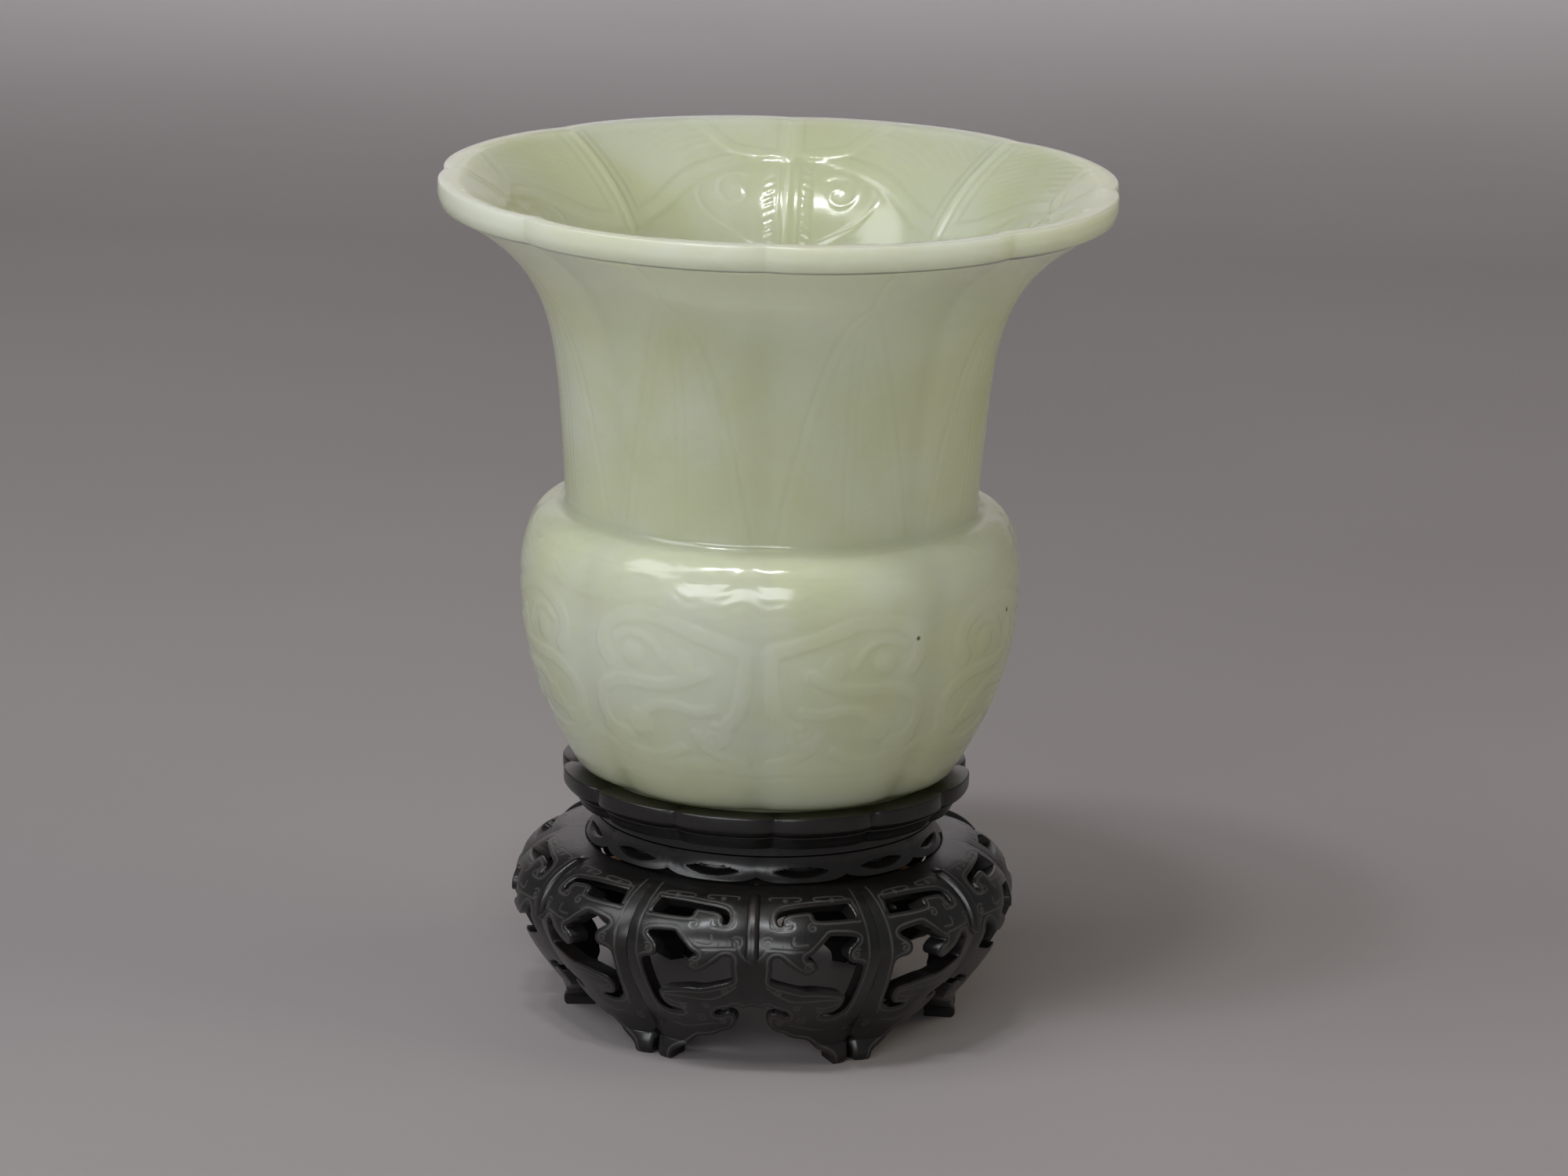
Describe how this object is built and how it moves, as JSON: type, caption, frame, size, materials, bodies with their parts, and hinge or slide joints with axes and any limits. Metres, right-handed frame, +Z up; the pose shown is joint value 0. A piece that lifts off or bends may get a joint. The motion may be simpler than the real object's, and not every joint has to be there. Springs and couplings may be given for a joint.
{
  "type": "lobed vase on a carved stand",
  "caption": "Hollow lobed jade vase with a wide flaring mouth, standing loose in the scalloped collar of a low openwork wooden drum stand.",
  "frame": {"origin": "centre of the stand on the table plane under its feet", "axes": "+Z up, front of the stand faces -Y"},
  "size_m": [0.1272, 0.1272, 0.1635],
  "materials": {
    "jade": "polished, slightly waxy",
    "dark_wood": "stained nearly black, satin polish",
    "peg_wood": "plain"
  },
  "bodies": {
    "stand": {"collar_ring": "dark_wood", "seat_board": "dark_wood", "waist_ring": "dark_wood", "petal_skirt": "dark_wood", "crown_ring": "dark_wood", "openwork_panel_1": "dark_wood", "openwork_panel_2": "dark_wood", "openwork_panel_3": "dark_wood", "openwork_panel_4": "dark_wood", "openwork_panel_5": "dark_wood", "openwork_panel_6": "dark_wood", "joint_dowel_1": "peg_wood", "joint_dowel_2": "peg_wood", "joint_dowel_3": "peg_wood", "joint_dowel_4": "peg_wood", "joint_dowel_5": "peg_wood", "joint_dowel_6": "peg_wood", "joint_dowel_7": "peg_wood", "joint_dowel_8": "peg_wood", "joint_dowel_9": "peg_wood", "joint_dowel_10": "peg_wood", "joint_dowel_11": "peg_wood", "joint_dowel_12": "peg_wood", "crown_peg_1": "peg_wood", "crown_peg_2": "peg_wood", "crown_peg_3": "peg_wood", "crown_peg_4": "peg_wood", "crown_peg_5": "peg_wood", "crown_peg_6": "peg_wood", "stack_peg_1": "peg_wood", "stack_peg_2": "peg_wood", "stack_peg_3": "peg_wood", "stack_peg_4": "peg_wood"},
    "vase": {"jade_vase": "jade"}
  },
  "joints": [
    {"name": "vase_lift", "type": "slide", "parent": "stand", "child": "vase", "axis": [0, 0, 1], "range_m": [0, 0.06]}
  ]
}
